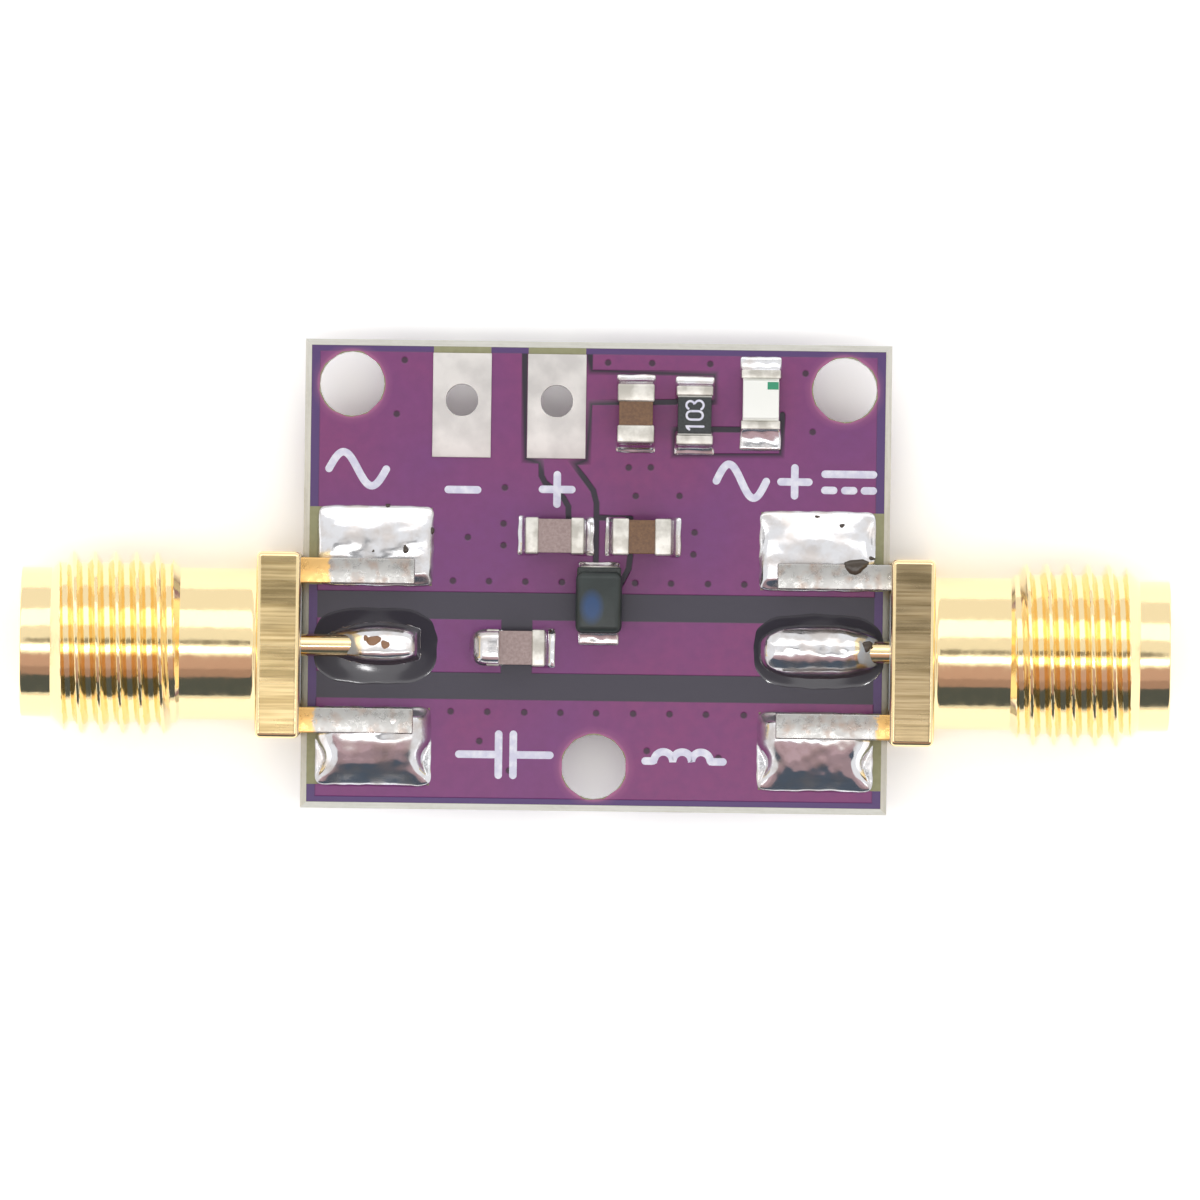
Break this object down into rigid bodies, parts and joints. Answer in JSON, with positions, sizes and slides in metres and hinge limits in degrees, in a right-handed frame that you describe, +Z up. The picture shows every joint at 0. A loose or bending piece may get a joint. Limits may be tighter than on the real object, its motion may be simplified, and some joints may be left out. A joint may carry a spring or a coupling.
{
  "type": "rf bias tee",
  "caption": "Radio-frequency bias tee on a small circuit board, with an SMA edge jack at each end, two DC wire pads, and its capacitors, inductor, resistor and LED.",
  "frame": {"origin": "middle of the part's outline seen from above, on the plane that its two flanges rest on", "axes": "+X from the left jack to the right one, +Y across the board towards the DC pads, +Z up, out of the side that carries the chips"},
  "size_m": [0.039, 0.016, 0.0063],
  "materials": {
    "board": "glass-epoxy laminate under a purple solder mask, satin gloss; bare and rough along its snapped edges",
    "tinned_copper": "copper land levelled with tin, bright with soft waves",
    "solder": "hand soldered, bright, slightly grained",
    "gold_plated_brass": "turned and milled brass with a thin bright gold flash; fine brush marks on the flange",
    "gold_plated_contact": "bright gold plate",
    "fluoropolymer": "white, slightly translucent",
    "tinned_chip_end": "matt tin plate",
    "grey_ceramic": "pinkish-grey fired ceramic, fine grain",
    "brown_ceramic": "brown fired ceramic, fine grain",
    "alumina": "white sintered alumina",
    "black_glaze": "printed glass glaze, satin",
    "led_laminate": "pale laminate",
    "cloudy_epoxy": "cloudy cast epoxy",
    "ferrite": "dark sintered ferrite",
    "enamelled_wire": "enamelled copper wire",
    "dark_resin": "dark ultraviolet-cured resin"
  },
  "bodies": {
    "root": {"blocking_capacitor_ceramic": "grey_ceramic", "blocking_capacitor_left_solder": "solder", "blocking_capacitor_left_terminal": "tinned_chip_end", "blocking_capacitor_right_solder": "solder", "blocking_capacitor_right_terminal": "tinned_chip_end", "circuit_board": "board", "dc_pad_minus": "tinned_copper", "dc_pad_plus": "tinned_copper", "filter_capacitor_a_ceramic": "grey_ceramic", "filter_capacitor_a_left_solder": "solder", "filter_capacitor_a_left_terminal": "tinned_chip_end", "filter_capacitor_a_right_solder": "solder", "filter_capacitor_a_right_terminal": "tinned_chip_end", "filter_capacitor_b_ceramic": "brown_ceramic", "filter_capacitor_b_left_solder": "solder", "filter_capacitor_b_left_terminal": "tinned_chip_end", "filter_capacitor_b_right_solder": "solder", "filter_capacitor_b_right_terminal": "tinned_chip_end", "inductor_core": "ferrite", "inductor_lower_solder": "solder", "inductor_lower_terminal": "tinned_chip_end", "inductor_resin_cap": "dark_resin", "inductor_upper_solder": "solder", "inductor_upper_terminal": "tinned_chip_end", "inductor_winding": "enamelled_wire", "input_capacitor_ceramic": "brown_ceramic", "input_capacitor_lower_solder": "solder", "input_capacitor_lower_terminal": "tinned_chip_end", "input_capacitor_upper_solder": "solder", "input_capacitor_upper_terminal": "tinned_chip_end", "led_base": "led_laminate", "led_lens": "cloudy_epoxy", "led_lower_solder": "solder", "led_lower_terminal": "tinned_chip_end", "led_resistor_alumina": "alumina", "led_resistor_glaze": "black_glaze", "led_resistor_lower_solder": "solder", "led_resistor_lower_terminal": "tinned_chip_end", "led_resistor_upper_solder": "solder", "led_resistor_upper_terminal": "tinned_chip_end", "led_upper_solder": "solder", "led_upper_terminal": "tinned_chip_end", "left_front_bottom_leg_solder": "solder", "left_front_top_leg_solder": "solder", "left_jack_body": "gold_plated_brass", "left_jack_contact": "gold_plated_contact", "left_jack_insulator": "fluoropolymer", "left_rear_bottom_leg_solder": "solder", "left_rear_top_leg_solder": "solder", "left_tail_solder": "solder", "right_front_bottom_leg_solder": "solder", "right_front_top_leg_solder": "solder", "right_jack_body": "gold_plated_brass", "right_jack_contact": "gold_plated_contact", "right_jack_insulator": "fluoropolymer", "right_rear_bottom_leg_solder": "solder", "right_rear_top_leg_solder": "solder", "right_tail_solder": "solder"}
  },
  "joints": []
}
